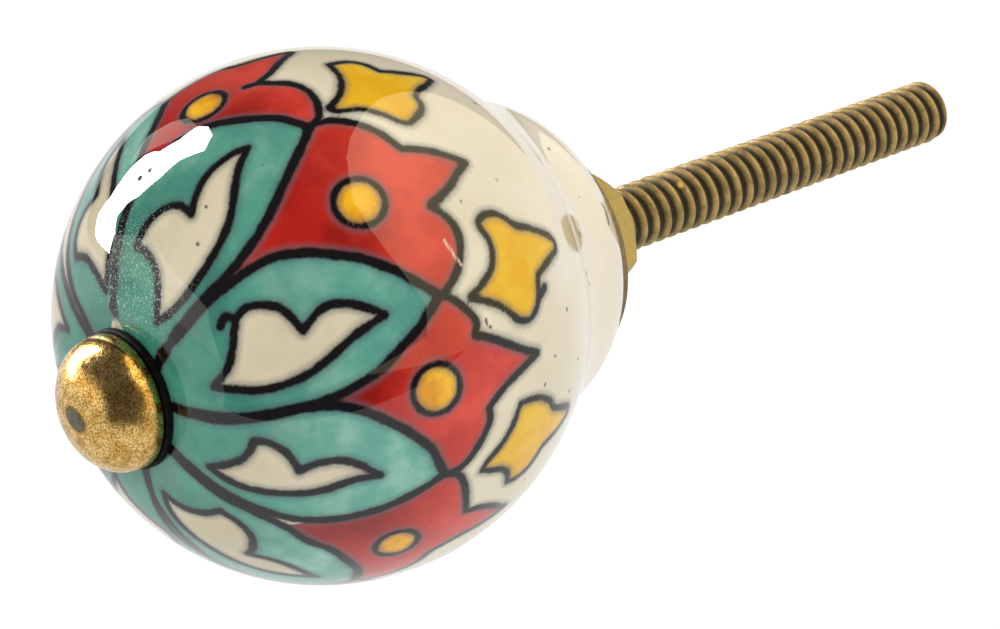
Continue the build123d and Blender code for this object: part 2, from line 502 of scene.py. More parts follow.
def turned_points(rows, segments):
    """Points of rows of (radius, station) turned about the rod's axis."""
    rows = np.array(rows, float)
    turn = np.linspace(0, 2 * pi, segments, endpoint=False)
    x, z = rows[:, :1] * np.cos(turn), rows[:, :1] * np.sin(turn)
    y = np.repeat(rows[:, 1:], segments, 1)
    return np.stack([x, y, z], -1).reshape(-1, 3)


def store(mesh, name, values):
    """Keeps one number for each point of a mesh, for its material to read."""
    layer = mesh.attributes.new(name, "FLOAT", "POINT")
    layer.data.foreach_set("value", np.asarray(values, np.float32).ravel())


def add_object(name, data):
    """Puts a mesh, a lamp or a camera in the scene."""
    thing = bpy.data.objects.new(name, data)
    bpy.context.scene.collection.objects.link(thing)
    return thing


def place(mesh, material, node):
    """Puts a mesh in the scene in place of a CAD node."""
    piece = add_object(mesh.name, mesh)
    mesh.materials.append(material)
    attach(piece, "root")
    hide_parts(node)


def nose_arc():
    """The soft shoulder from the flat of the nose to the ball."""
    land = np.array([NOSE_LAND, NOSE_FACE - BALL_CENTRE.y])
    outward = np.array([sin(NOSE_SHOULDER), -cos(NOSE_SHOULDER)])
    offset = (BALL_RADIUS**2 - land @ land) / (2 * (BALL_RADIUS - land @ outward))
    centre = offset * outward
    shoulder = BALL_RADIUS * outward
    return arc_points(centre, BALL_RADIUS - offset, slope(land, centre), slope(shoulder, centre), NOSE_ROWS)


def waist_circle(foot_centre, foot_radius):
    """Centre of the hollow round that touches both the ball and the foot."""
    ball_reach, foot_reach = BALL_RADIUS + WAIST_ROUND, foot_radius + WAIST_ROUND
    apart = np.linalg.norm(foot_centre)
    along = foot_centre / apart
    across = np.array([along[1], -along[0]])
    near = (ball_reach**2 - foot_reach**2 + apart**2) / (2 * apart)
    return along * near + across * sqrt(ball_reach**2 - near**2)


def ceramic_profile():
    """Rows of (radius, station) from the nose to the foot, and how far each has moved to the foot's axis."""
    middle = (0, 0)
    foot_points = np.array(FOOT_POINTS) - (0, BALL_CENTRE.y)
    foot_centre, foot_radius = circle_through(foot_points)
    waist_centre = waist_circle(foot_centre, foot_radius)
    waist_start = waist_centre * BALL_RADIUS / (BALL_RADIUS + WAIST_ROUND)
    waist_end = foot_centre + (waist_centre - foot_centre) * foot_radius / (foot_radius + WAIST_ROUND)
    rim_radius, face = foot_points[2]
    rim_level = face - FOOT_RIM * FOOT_RIM_START
    rim_start = (foot_centre[0] + sqrt(foot_radius**2 - (rim_level - foot_centre[1]) ** 2), rim_level)

    nose = nose_arc()
    ball_start, ball_end = NOSE_SHOULDER - pi / 2, slope(waist_start, middle)
    ball = arc_points(middle, BALL_RADIUS, ball_start, ball_end, BALL_ROWS)[1:]
    full = 2 * pi
    hollow = arc_points(
        waist_centre,
        WAIST_ROUND,
        slope(waist_start, waist_centre) % full,
        slope(waist_end, waist_centre) % full,
        WAIST_ROWS,
    )[1:]
    foot_start, foot_end = slope(waist_end, foot_centre), slope(rim_start, foot_centre)
    foot = arc_points(foot_centre, foot_radius, foot_start, foot_end, FOOT_ROWS)[1:]
    rim = [
        (rim_radius - FOOT_RIM * ROUND_MIDDLE, face - FOOT_RIM * FOOT_RIM_MIDDLE),
        (rim_radius - FOOT_RIM, face),
    ]
    rows = np.vstack([nose, ball, hollow, foot, rim])
    rows[:, 1] += BALL_CENTRE.y
    before, after = len(nose) + len(ball), len(foot) + len(rim)
    moved = np.concatenate([np.zeros(before), np.linspace(0, 1, len(hollow)), np.ones(after)])
    return rows, moved


def ceramic_body():
    """The ball and foot with a plain bore; the painted shapes are stored as distances."""
    rows, moved = ceramic_profile()
    outside = turned_points(rows, BODY_SEGMENTS)
    moved = np.repeat(moved, BODY_SEGMENTS)
    outside[:, 0] += BALL_CENTRE.x + moved * (FOOT_AXIS[0] - BALL_CENTRE.x)
    outside[:, 2] += BALL_CENTRE.z + moved * (FOOT_AXIS[1] - BALL_CENTRE.z)
    bore = [(BODY_BORE, FOOT_FACE), (BODY_BORE, NOSE_FACE)]
    vertices = np.vstack([outside, turned_points(bore, BODY_SEGMENTS)])
    mesh = grid_mesh("painted_body", vertices, len(rows) + len(bore), BODY_SEGMENTS, closed=True)
    directions = vertices - np.array(BALL_CENTRE)
    directions /= np.linalg.norm(directions, axis=1)[:, None]
    for name, values in paint(directions).items():
        store(mesh, name, values)
    # How far each point lies from the middle of the painted glints
    store(mesh, "from_sparkle", distance_to_point(directions, *PAINTED_GLINT_MIDDLE))
    return mesh


def domed_cap():
    """The turned cap, with its grey spot and cracks stored as distances."""
    base = CAP_SEAT - CAP_RIM_HEIGHT
    middle = CAP_RIM_ROUND * ROUND_MIDDLE
    edge = [
        (CAP_RADIUS - CAP_RIM_ROUND, CAP_SEAT),
        (CAP_RADIUS - middle, CAP_SEAT - middle),
        (CAP_RADIUS, CAP_SEAT - CAP_RIM_ROUND),
    ]
    climb = np.linspace(0, pi / 2, DOME_ROWS)[:-1]
    dome = np.stack([CAP_RADIUS * np.cos(climb), base - CAP_DOME_HEIGHT * np.sin(climb)], 1)
    top = (CAP_PINHOLE, base - CAP_DOME_HEIGHT)
    hole_end = CAP_SEAT - CAP_HOLE_DEPTH
    hole = [(CAP_PINHOLE, hole_end), (CAP_HOLE_RADIUS, hole_end), (CAP_HOLE_RADIUS, CAP_SEAT)]
    rows = [*edge, *dome, top, *hole]
    vertices = turned_points(rows, CAP_SEGMENTS)
    mesh = grid_mesh("brass_cap", vertices, len(rows), CAP_SEGMENTS, closed=True)
    x, z = vertices[:, 0] - CAP_SPOT[0], vertices[:, 2] - CAP_SPOT[1]
    along = x * cos(CAP_SPOT_TURN) + z * sin(CAP_SPOT_TURN)
    across = z * cos(CAP_SPOT_TURN) - x * sin(CAP_SPOT_TURN)
    inner = vertices[:, 1] > hole_end
    spot = np.hypot(along / CAP_SPOT_SIZE[0], across / CAP_SPOT_SIZE[1]) - 1
    store(mesh, "spot", np.where(inner, 1, spot))
    store(mesh, "crack", np.min([gap_to_line(vertices, crack) for crack in CAP_CRACKS], 0))
    return mesh


def turned_ring(name, rows, segments):
    """A plain ring turned about the rod's axis."""
    return grid_mesh(name, turned_points(rows, segments), len(rows), segments, closed=True)


def cushion_ring():
    """The thin black washer under the cap; its black also stands for painted shade under the cap's rim."""
    rows = [
        (WASHER_HOLE, NOSE_FACE),
        (WASHER_HOLE, CAP_SEAT),
        (CUSHION_RADIUS - CUSHION_EDGE, CAP_SEAT),
        (CUSHION_RADIUS, CAP_SEAT + CUSHION_EDGE),
        (CUSHION_RADIUS, NOSE_FACE - CUSHION_EDGE),
        (CUSHION_RADIUS - CUSHION_EDGE, NOSE_FACE),
    ]
    return turned_ring("cushion_ring", rows, CUSHION_SEGMENTS)


def brass_washer():
    """The thin washer behind the foot, with a rounded back edge."""
    middle = WASHER_EDGE * ROUND_MIDDLE
    rows = [
        (WASHER_HOLE, WASHER_BACK),
        (WASHER_HOLE, FOOT_FACE),
        (WASHER_RADIUS - WASHER_CORNER, FOOT_FACE),
        (WASHER_RADIUS, FOOT_FACE + WASHER_CORNER),
        (WASHER_RADIUS, WASHER_BACK - WASHER_EDGE),
        (WASHER_RADIUS - middle, WASHER_BACK - middle),
        (WASHER_RADIUS - WASHER_EDGE, WASHER_BACK),
    ]
    return turned_ring("brass_washer", rows, WASHER_SEGMENTS)


def thread_height(turns):
    """Height of the thread, from 0 in the groove to 1 on the rounded crest, over one turn."""
    fullness = 1.6
    return 0.5 + 0.5 * np.tanh(fullness * np.cos(2 * pi * turns)) / np.tanh(fullness)


def threaded_shank():
    """A right-handed thread with rounded crests, which dies out over the rounded tip."""
    stations = np.append(np.arange(THREAD_START, ROD_END, THREAD_PITCH / ROWS_A_TURN), ROD_END)
    turn = np.linspace(0, 2 * pi, ROD_SEGMENTS, endpoint=False)
    height = thread_height(stations[:, None] / THREAD_PITCH - turn / (2 * pi))
    limit = np.full(len(stations), THREAD_RADIUS)
    from_end = ROD_END - stations
    tip = from_end < TIP_ROUND
    limit[tip] -= TIP_ROUND - np.sqrt(TIP_ROUND**2 - (TIP_ROUND - from_end[tip]) ** 2)
    radius = np.minimum(THREAD_RADIUS - THREAD_DEPTH * (1 - height), limit[:, None])
    in_nut = stations < NUT_FACE
    radius[in_nut] = np.minimum(radius[in_nut], ROD_CORE)

    nick_gap = np.hypot(stations[:, None] - NICK[0], THREAD_RADIUS * (turn - NICK[1]))
    nick = np.exp(-((nick_gap / NICK_SIZE) ** 2)) * height
    radius -= NICK_DEPTH * nick

    plain = np.zeros((2, ROD_SEGMENTS))
    radius = np.vstack([plain + ROD_CORE, radius])
    stations = np.concatenate([[ROD_START, THREAD_START - THREAD_STEP], stations])
    x, z = radius * np.sin(turn), radius * np.cos(turn)
    y = np.repeat(stations[:, None], ROD_SEGMENTS, 1)
    vertices = np.stack([x, y, z], -1).reshape(-1, 3)
    mesh = grid_mesh("threaded_shank", vertices, len(stations), ROD_SEGMENTS)
    store(mesh, "crest", np.vstack([plain, height]))
    store(mesh, "nick", np.vstack([plain, nick]))
    return mesh


# Shader helpers. Each value is either another node's output or a plain number or colour.
# A rise is given by the value where it begins and the value where it ends


def srgb(red, green, blue):
    """A colour as seen on a screen, from 0 to 255, as Blender's own colour."""
    parts = np.array([red, green, blue]) / 255
    light = np.where(parts < 0.04045, parts / 12.92, ((parts + 0.055) / 1.055) ** 2.4)
    return (*light.tolist(), 1.0)


def wire(tree, value, socket):
    """Joins a node's output to a socket, or sets the socket to a plain value or colour."""
    if isinstance(value, bpy.types.NodeSocket):
        tree.links.new(value, socket)
    else:
        socket.default_value = value


def clouds(tree, scale, detail, roughness=0.55):
    """Soft noise, fixed to the piece."""
    where = tree.nodes.new("ShaderNodeTexCoord")
    noise = tree.nodes.new("ShaderNodeTexNoise")
    wire(tree, where.outputs["Object"], noise.inputs["Vector"])
    wire(tree, scale, noise.inputs["Scale"])
    wire(tree, detail, noise.inputs["Detail"])
    wire(tree, roughness, noise.inputs["Roughness"])
    return noise.outputs["Fac"]


def rise(tree, value, low, high, start=0.0, end=1.0):
    """A smooth step from start to end while the value goes from low to high."""
    step = tree.nodes.new("ShaderNodeMapRange")
    step.interpolation_type = "SMOOTHSTEP"
    wire(tree, value, step.inputs["Value"])
    wire(tree, low, step.inputs["From Min"])
    wire(tree, high, step.inputs["From Max"])
    wire(tree, start, step.inputs["To Min"])
    wire(tree, end, step.inputs["To Max"])
    return step.outputs["Result"]


def blend(tree, amount, first, second):
    """One colour laid over another."""
    mix = tree.nodes.new("ShaderNodeMix")
    mix.data_type = "RGBA"
    wire(tree, amount, mix.inputs[0])
    wire(tree, first, mix.inputs[6])
    wire(tree, second, mix.inputs[7])
    return mix.outputs[2]


def reckon(tree, operation, first, second):
    """A sum, a product or another reckoning of two values."""
    node = tree.nodes.new("ShaderNodeMath")
    node.operation = operation
    wire(tree, first, node.inputs[0])
    wire(tree, second, node.inputs[1])
    return node.outputs[0]


def stored(tree, name):
    """A number stored on the mesh."""
    node = tree.nodes.new("ShaderNodeAttribute")
    node.attribute_name = name
    return node.outputs["Fac"]


# Effects that several materials share


def new_effect(name, inputs, output, kind):
    """An empty shader group with named sockets: its tree, its inputs and its one output."""
    tree = bpy.data.node_groups.new(name, "ShaderNodeTree")
    for label, value in inputs.items():
        socket_type = "NodeSocketColor" if isinstance(value, tuple) else "NodeSocketFloat"
        tree.interface.new_socket(label, in_out="INPUT", socket_type=socket_type).default_value = value
    tree.interface.new_socket(output, in_out="OUTPUT", socket_type=kind)
    given = tree.nodes.new("NodeGroupInput").outputs
    return tree, given, tree.nodes.new("NodeGroupOutput").inputs[output]


def apply(tree, effect, values):
    """Places a shared effect in a material with the material's own values."""
    node = tree.nodes.new("ShaderNodeGroup")
    node.node_tree = effect
    for label, value in values.items():
        wire(tree, value, node.inputs[label])
    return node.outputs[0]


def mottle_effect():
    """Two colours that drift into each other in soft patches."""
    inputs = {"First": (1, 1, 1, 1), "Second": (0, 0, 0, 1), "Scale": 500.0, "From": 0.35, "To": 0.65}
    tree, given, output = new_effect("mottle", inputs, "Color", "NodeSocketColor")
    patches = rise(tree, clouds(tree, given["Scale"], 4.0), given["From"], given["To"])
    wire(tree, blend(tree, patches, given["First"], given["Second"]), output)
    return tree


def specks_effect():
    """Small specks of one colour strewn over another."""
    inputs = {
        "Color": (1, 1, 1, 1),
        "Speck": (0, 0, 0, 1),
        "Scale": 2500.0,
        "From": 0.7,
        "To": 0.75,
        "Strength": 1.0,
    }
    tree, given, output = new_effect("specks", inputs, "Color", "NodeSocketColor")
    specks = rise(tree, clouds(tree, given["Scale"], 2.0), given["From"], given["To"])
    amount = reckon(tree, "MULTIPLY", specks, given["Strength"])
    wire(tree, blend(tree, amount, given["Color"], given["Speck"]), output)
    return tree


def brush_edge_effect():
    """A painted shape's cover, from its stored distance, with an edge that wavers as a brush does."""
    inputs = {"Distance": 0.0, "Inner": -0.3, "Outer": 0.3, "Waver": 1.0}
    tree, given, output = new_effect("brush_edge", inputs, "Cover", "NodeSocketFloat")
    slow = reckon(tree, "SUBTRACT", clouds(tree, 800.0, 4.0), 0.5)
    quick = reckon(tree, "SUBTRACT", clouds(tree, 3500.0, 3.0), 0.5)
    waver = reckon(tree, "ADD", slow, reckon(tree, "MULTIPLY", quick, 0.6))
    moved = reckon(tree, "ADD", given["Distance"], reckon(tree, "MULTIPLY", waver, given["Waver"]))
    wire(tree, rise(tree, moved, given["Inner"], given["Outer"], start=1.0, end=0.0), output)
    return tree


def uneven_effect():
    """A value that wanders between two limits."""
    inputs = {"Scale": 1500.0, "Low": 0.3, "High": 0.5}
    tree, given, output = new_effect("uneven", inputs, "Value", "NodeSocketFloat")
    wire(tree, rise(tree, clouds(tree, given["Scale"], 4.0), 0.3, 0.7, given["Low"], given["High"]), output)
    return tree


def grain_effect():
    """The height of a fine grain, for a bump."""
    inputs = {"Scale": 1500.0, "Coarseness": 0.6}
    tree, given, output = new_effect("grain", inputs, "Height", "NodeSocketFloat")
    wire(tree, clouds(tree, given["Scale"], 5.0, given["Coarseness"]), output)
    return tree


def edge_wear_and_highlight_effect():
    """A brighter colour along the edges: rubbed wear, and a painted highlight on them."""
    inputs = {"Color": (0, 0, 0, 1), "Worn": (1, 1, 1, 1), "From": 0.52, "To": 0.6}
    tree, given, output = new_effect("edge_wear", inputs, "Color", "NodeSocketColor")
    shape = tree.nodes.new("ShaderNodeNewGeometry").outputs["Pointiness"]
    patchy = reckon(tree, "MULTIPLY", clouds(tree, 2000.0, 3.0), 0.04)
    worn_and_highlit = rise(tree, reckon(tree, "ADD", shape, patchy), given["From"], given["To"])
    wire(tree, blend(tree, worn_and_highlit, given["Color"], given["Worn"]), output)
    return tree


MOTTLE = mottle_effect()
SPECKS = specks_effect()
BRUSH_EDGE = brush_edge_effect()
UNEVEN = uneven_effect()
GRAIN = grain_effect()
EDGE_WEAR_AND_HIGHLIGHT = edge_wear_and_highlight_effect()


def new_material(name):
    """A material with its shader ready."""
    material = bpy.data.materials.new(name)
    material.use_nodes = True
    tree = material.node_tree
    return material, tree, tree.nodes["Principled BSDF"]


def bumped(tree, shader, scale, strength, depth):
    """A fine grain on a surface."""
    bump = tree.nodes.new("ShaderNodeBump")
    bump.inputs["Strength"].default_value = strength
    bump.inputs["Distance"].default_value = depth * MM
    wire(tree, apply(tree, GRAIN, {"Scale": scale}), bump.inputs["Height"])
    wire(tree, bump.outputs["Normal"], shader.inputs["Normal"])


def two_tone(tree, first, second, scale, low=0.35, high=0.65):
    """A paint or metal that drifts between two tones."""
    return apply(tree, MOTTLE, {"First": first, "Second": second, "Scale": scale, "From": low, "To": high})


def specked(tree, colour, speck, scale, low, high, strength):
    """A surface strewn with small specks."""
    values = {"Color": colour, "Speck": speck, "Scale": scale, "From": low, "To": high, "Strength": strength}
    return apply(tree, SPECKS, values)


def rubbed_and_highlit_edges(tree, colour, worn_and_highlit, low, high):
    """A metal that is brighter along its edges, from rubbed wear and a painted highlight."""
    return apply(tree, EDGE_WEAR_AND_HIGHLIGHT, {"Color": colour, "Worn": worn_and_highlit, "From": low, "To": high})


def uneven_sheen(tree, shader, scale, low, high):
    """A roughness that wanders between two limits."""
    wire(tree, apply(tree, UNEVEN, {"Scale": scale, "Low": low, "High": high}), shader.inputs["Roughness"])


def painted_glaze():
    """Ivory clay painted in teal, red and yellow with dark brush lines, under a clear glaze."""
    material, tree, shader = new_material("painted_glaze")

    def cover(name, inner=-0.3, outer=0.3, waver=0.8):
        values = {"Distance": stored(tree, name), "Inner": inner, "Outer": outer, "Waver": waver}
        return apply(tree, BRUSH_EDGE, values)

    creamy = two_tone(tree, srgb(221, 212, 187), srgb(213, 202, 174), 130.0)
    pale = two_tone(tree, srgb(237, 228, 209), srgb(230, 219, 197), 130.0)
    from_nose = stored(tree, "from_nose")
    clay = blend(tree, rise(tree, from_nose, 98.0, 128.0), creamy, pale)
    bare = two_tone(tree, srgb(207, 196, 171), srgb(193, 182, 154), 160.0)
    deep_teal = two_tone(tree, srgb(28, 104, 88), srgb(54, 130, 110), 210.0, 0.36, 0.6)
    pale_teal = two_tone(tree, srgb(108, 172, 156), srgb(154, 200, 186), 330.0, 0.42, 0.7)
    thinned = reckon(tree, "MULTIPLY", stored(tree, "wash"), rise(tree, from_nose, 32.0, 58.0, start=0.3))
    teal = blend(tree, thinned, deep_teal, pale_teal)
    deep_red = two_tone(tree, srgb(132, 15, 10), srgb(167, 28, 19), 190.0, 0.4, 0.62)
    pale_red = two_tone(tree, srgb(191, 50, 36), srgb(215, 69, 52), 190.0, 0.4, 0.62)
    red = blend(tree, rise(tree, from_nose, 60.0, 84.0), deep_red, pale_red)
    yellow = two_tone(tree, srgb(224, 168, 6), srgb(234, 190, 50), 220.0)
    orange = two_tone(tree, srgb(208, 138, 8), srgb(238, 182, 36), 350.0)
    patch = two_tone(tree, srgb(214, 199, 166), srgb(206, 191, 158), 400.0)

    bleed = reckon(tree, "MULTIPLY", cover("line", -0.1, 1.6), 0.5)
    pit = cover("pit", -0.1, 0.25, 0.3)
    layers = [
        (cover("patch", -0.6, 0.4), patch),
        (cover("flower"), red),
        (cover("petal"), teal),
        (cover("leaf"), bare),
        (cover("dot"), orange),
        (cover("star"), yellow),
        (bleed, srgb(72, 88, 96)),
        (cover("line", -0.45, 0.3), srgb(15, 12, 13)),
        (cover("mark", -0.15, 0.3, 0.3), srgb(96, 86, 76)),
        (cover("scratch", -0.15, 0.3, 0.3), srgb(224, 178, 158)),
        (pit, srgb(92, 60, 84)),
    ]
    colour = clay
    for amount, layer in layers:
        colour = blend(tree, amount, colour, layer)
    # Painted glints: pale specks of painted highlight, thickest above the cap
    painted_glints = rise(tree, stored(tree, "from_sparkle"), 6.0, 19.0, start=0.5, end=0.0)
    colour = specked(tree, colour, srgb(206, 226, 216), 7000.0, 0.56, 0.66, strength=painted_glints)
    colour = specked(tree, colour, srgb(96, 76, 54), 1500.0, 0.76, 0.79, strength=0.75)
    wire(tree, colour, shader.inputs["Base Color"])
    uneven_sheen(tree, shader, 600.0, 0.4, 0.55)
    wire(tree, reckon(tree, "SUBTRACT", 1.0, pit), shader.inputs["Coat Weight"])
    shader.inputs["Specular IOR Level"].default_value = 0.0
    shader.inputs["Coat Roughness"].default_value = 0.012
    shader.inputs["Coat IOR"].default_value = 1.5
    bumped(tree, shader, 500.0, 0.1, 0.2)
    return material


def antique_brass():
    """The cap's golden brass, rubbed and with a painted highlight along its edges, freckled with dark pits.
    """
    material, tree, shader = new_material("antique_brass")
    colour = two_tone(tree, srgb(236, 198, 124), srgb(204, 160, 84), 1100.0, 0.4, 0.62)
    # Brighter edges: rubbed wear and a painted highlight on the rim
    colour = rubbed_and_highlit_edges(tree, colour, srgb(246, 218, 158), 0.54, 0.6)
    colour = specked(tree, colour, srgb(96, 68, 28), 8000.0, 0.48, 0.58, strength=0.7)
    grey = two_tone(tree, srgb(112, 112, 98), srgb(84, 82, 66), 1500.0)
    spot = reckon(tree, "ADD", stored(tree, "spot"), reckon(tree, "MULTIPLY", clouds(tree, 2500.0, 3.0), 0.3))
    # A darker ring round the grey spot, a little wider than it
    spot_dark_ring = rise(tree, spot, -0.1, 0.3, start=0.85, end=0.0)
    colour = blend(tree, spot_dark_ring, colour, srgb(78, 58, 30))
    colour = blend(tree, rise(tree, spot, -0.25, 0.02, start=0.95, end=0.0), colour, grey)
    cracks = rise(tree, stored(tree, "crack"), 0.03, 0.12, start=0.9, end=0.0)
    colour = blend(tree, cracks, colour, srgb(40, 28, 14))
    wire(tree, colour, shader.inputs["Base Color"])
    shader.inputs["Metallic"].default_value = 1.0
    uneven_sheen(tree, shader, 1800.0, 0.18, 0.28)
    bumped(tree, shader, 2600.0, 0.35, 0.06)
    return material


def dull_brass(name, bright, dark, worn_and_highlit):
    """The plain brass of the washer and nut: dull, olive and specked."""
    material, tree, shader = new_material(name)
    colour = two_tone(tree, bright, dark, 800.0, 0.3, 0.7)
    # Brighter edges: rubbed wear and a painted highlight
    colour = rubbed_and_highlit_edges(tree, colour, worn_and_highlit, 0.53, 0.58)
    finish_brass(tree, shader, colour)
    return material


def thread_brass():
    """The rod's brass: olive on the crests, with painted shade darkening the grooves, bright in one nick."""
    material, tree, shader = new_material("thread_brass")
    colour = two_tone(tree, srgb(178, 150, 94), srgb(134, 114, 66), 900.0, 0.3, 0.7)
    # Painted shade: the grooves are darkened where the crests shade them
    painted_groove_shade = rise(tree, stored(tree, "crest"), 0.2, 0.85, start=0.95, end=0.0)
    colour = blend(tree, painted_groove_shade, colour, srgb(38, 33, 22))
    colour = blend(tree, rise(tree, stored(tree, "nick"), 0.3, 0.7), colour, srgb(232, 194, 106))
    finish_brass(tree, shader, colour)
    return material


def finish_brass(tree, shader, colour):
    """The dark specks, sheen and grain of dull brass."""
    colour = specked(tree, colour, srgb(62, 50, 28), 3600.0, 0.62, 0.72, strength=0.6)
    wire(tree, colour, shader.inputs["Base Color"])
    shader.inputs["Metallic"].default_value = 0.45
    uneven_sheen(tree, shader, 2200.0, 0.45, 0.66)
    bumped(tree, shader, 2600.0, 0.3, 0.06)


def black_rubber():
    """The cushion's black rubber, near black and with little sheen, also as painted shade under the cap's
    rim.
    """
    material, tree, shader = new_material("black_rubber")
    wire(tree, two_tone(tree, srgb(5, 5, 6), srgb(13, 13, 13), 1500.0), shader.inputs["Base Color"])
    uneven_sheen(tree, shader, 2500.0, 0.5, 0.7)
    shader.inputs["Specular IOR Level"].default_value = 0.08
    bumped(tree, shader, 3000.0, 0.2, 0.03)
    return material


# Studio. The floor's level and the sheet's lift over it are in millimetres, other distances in metres
FLOOR_LEVEL = BALL_CENTRE.z - BALL_RADIUS - 12
FLOOR_REACH = 3.0
FLOOR_COLOUR = (0.9, 0.93, 0.97, 1)
SHEET_LIFT = 0.5

# How bright the backdrop is on the surfaces and in the glaze, the sheet on the floor, and the strobe
SOFT_FILL = 0.56
ROOM_GLOW = 0.13
SHEET_GLOW = 0.95
STROBE_GLOW = 22

# Outline of the strobe's reflection, as (azimuth, elevation)
STROBE = [
    (-58, 2), (-72, 2), (-82, 5), (-82, 10), (-86, 16), (-87, 20), (-86, 24), (-84, 27), (-86, 33),
    (-91, 36), (-90, 41), (-84, 46), (-74, 47), (-73, 38), (-69, 32), (-68, 24), (-70, 19), (-69, 14),
    (-62, 10),
]

# Screens, as rows of (elevation, first azimuth, last azimuth, strength)
RIGHT_SCREEN = [
    (-5, 64, 203, 1.2), (1, 72, 203, 1.2), (5, 83, 204, 1.2), (9, 95, 205, 1.3), (20, 98, 208, 1.5),
    (32, 94, 209, 1.65), (45, 90, 209, 1.95), (56, 87, 207, 2.3), (68, 88, 200, 2.5), (72, 93, 196, 2.5),
    (75, 102, 189, 2.5), (78, 113, 176, 2.5), (80, 140, 162, 2.5),
]
LEFT_SCREEN = [
    (-5, -57, 3, 1.5), (3, -57, -1, 1.5), (10, -61, -4, 1.5), (15, -54, -4, 1.5), (19, -46, -28, 1.5),
    (21, -40, -36, 1.5),
]
SIDE_STRIP = [(14, -97, -88, 1.6), (21, -98, -88, 1.6), (28, -97, -87, 1.6), (35, -92, -88, 1.6)]
GOLDEN = (1, 0.87, 0.58, 1)
WARM_WHITE = (1, 0.95, 0.85, 1)

# Soft lamps, as (name, azimuth, elevation, strength, colour)
LAMPS = [
    ("key_lamp", 0, 30, 1.1, (1, 0.94, 0.83)),
    ("side_lamp", 110, 20, 1.4, (1, 0.97, 0.92)),
    ("left_lamp", -80, 38, 0.85, (1, 0.96, 0.88)),
]
LAMP_WIDTH = radians(110)


def direction(azimuth, elevation):
    """The direction from the knob towards a place in the studio, in degrees."""
    a, e = radians(azimuth), radians(elevation)
    return Vector((sin(a) * cos(e), -cos(a) * cos(e), sin(e)))


def aim_inwards(thing, azimuth, elevation):
    """Turns a lamp or the camera so that it looks in from a direction."""
    thing.rotation_mode = "QUATERNION"
    thing.rotation_quaternion = (-direction(azimuth, elevation)).to_track_quat("-Z", "Y")


def studio_point(azimuth, elevation, distance):
    """A place in the studio, at a distance from the ball."""
    return Vector((0, BALL_CENTRE.y * MM, 0)) + distance * direction(azimuth, elevation)


def glowing_card(name, points, faces, strengths, colour=(1, 1, 1, 1)):
    """A card that shows in the glaze's reflections and doesn't light the paint under it."""
    mesh = bpy.data.meshes.new(name)
    mesh.from_pydata(points, [], faces)
    store(mesh, "strength", strengths)
    material = bpy.data.materials.new(name)
    material.use_nodes = True
    tree = material.node_tree
    tree.nodes.clear()
    glow = tree.nodes.new("ShaderNodeEmission")
    glow.inputs["Color"].default_value = colour
    wire(tree, stored(tree, "strength"), glow.inputs["Strength"])
    output = tree.nodes.new("ShaderNodeOutputMaterial")
    wire(tree, glow.outputs["Emission"], output.inputs["Surface"])
    mesh.materials.append(material)
    card = add_object(name, mesh)
    card.visible_camera = False
    card.visible_diffuse = False


def light_screen(name, rows, colour, distance):
    """A curved screen, from rows of (elevation, first azimuth, last azimuth, strength)."""
    steps = 12
    points, strengths = [], []
    for elevation, first, last, strength in rows:
        points.extend(studio_point(a, elevation, distance) for a in np.linspace(first, last, steps))
        strengths.extend([strength] * steps)
    faces = []
    for row in range(len(rows) - 1):
        for column in range(steps - 1):
            corner = row * steps + column
            faces.append((corner, corner + 1, corner + steps + 1, corner + steps))
    glowing_card(name, points, faces, strengths, colour)


def flat_card(name, points, strength):
    """A card of one face and one strength."""
    glowing_card(name, points, [tuple(range(len(points)))], [strength] * len(points))


def soft_lamp(name, azimuth, elevation, strength, colour):
    """A very wide lamp that lights the surfaces and stays out of their reflections."""
    data = bpy.data.lights.new(name, "SUN")
    data.energy = strength
    data.color = colour
    data.angle = LAMP_WIDTH
    lamp = add_object(name, data)
    aim_inwards(lamp, azimuth, elevation)
    lamp.visible_glossy = False


def white_sheet(azimuth, reach, side, side_end):
    """The bright part of the floor in the glaze's reflections. It ends at its reach in front of the
    knob, towards its azimuth, but runs on between the azimuths of its side and its side's end."""
    far = 1.5
    ahead, wide, left = direction(azimuth, 0), direction(azimuth + 90, 0), direction(side, 0)
    level = Vector((0, 0, (FLOOR_LEVEL + SHEET_LIFT) * MM))
    offsets = [
        reach * ahead + far * wide,
        reach / (ahead @ left) * left,
        far * left,
        far * direction(side_end, 0),
        -far * ahead - far * wide,
        -far * ahead + far * wide,
    ]
    flat_card("white_sheet", [level + offset for offset in offsets], SHEET_GLOW)


def mixed_shader(tree, amount, first, second):
    """One shader laid over another."""
    mix = tree.nodes.new("ShaderNodeMixShader")
    wire(tree, amount, mix.inputs["Fac"])
    wire(tree, first, mix.inputs[1])
    wire(tree, second, mix.inputs[2])
    return mix.outputs["Shader"]


def plain_glow(tree, strength):
    """An even white light."""
    glow = tree.nodes.new("ShaderNodeEmission")
    glow.inputs["Strength"].default_value = strength
    return glow.outputs["Emission"]


def floor():
    """A plain pale floor a little under the ball, white to the camera but for its shadow."""
    whitening, white = 0.8, 1.08
    size, level = FLOOR_REACH, FLOOR_LEVEL * MM
    corners = [(-size, -size, level), (size, -size, level), (size, size, level), (-size, size, level)]
    mesh = bpy.data.meshes.new("floor")
    mesh.from_pydata(corners, [], [(0, 1, 2, 3)])
    material, tree, shader = new_material("floor")
    shader.inputs["Base Color"].default_value = FLOOR_COLOUR
    shader.inputs["Roughness"].default_value = 0.9
    shader.inputs["Specular IOR Level"].default_value = 0.0
    matt = shader.outputs["BSDF"]
    path = tree.nodes.new("ShaderNodeLightPath").outputs
    seen = mixed_shader(tree, whitening, matt, plain_glow(tree, white))
    surface = mixed_shader(tree, path["Is Camera Ray"], matt, seen)
    surface = mixed_shader(tree, path["Is Glossy Ray"], surface, plain_glow(tree, ROOM_GLOW))
    wire(tree, surface, tree.nodes["Material Output"].inputs["Surface"])
    mesh.materials.append(material)
    plane = add_object("floor", mesh)


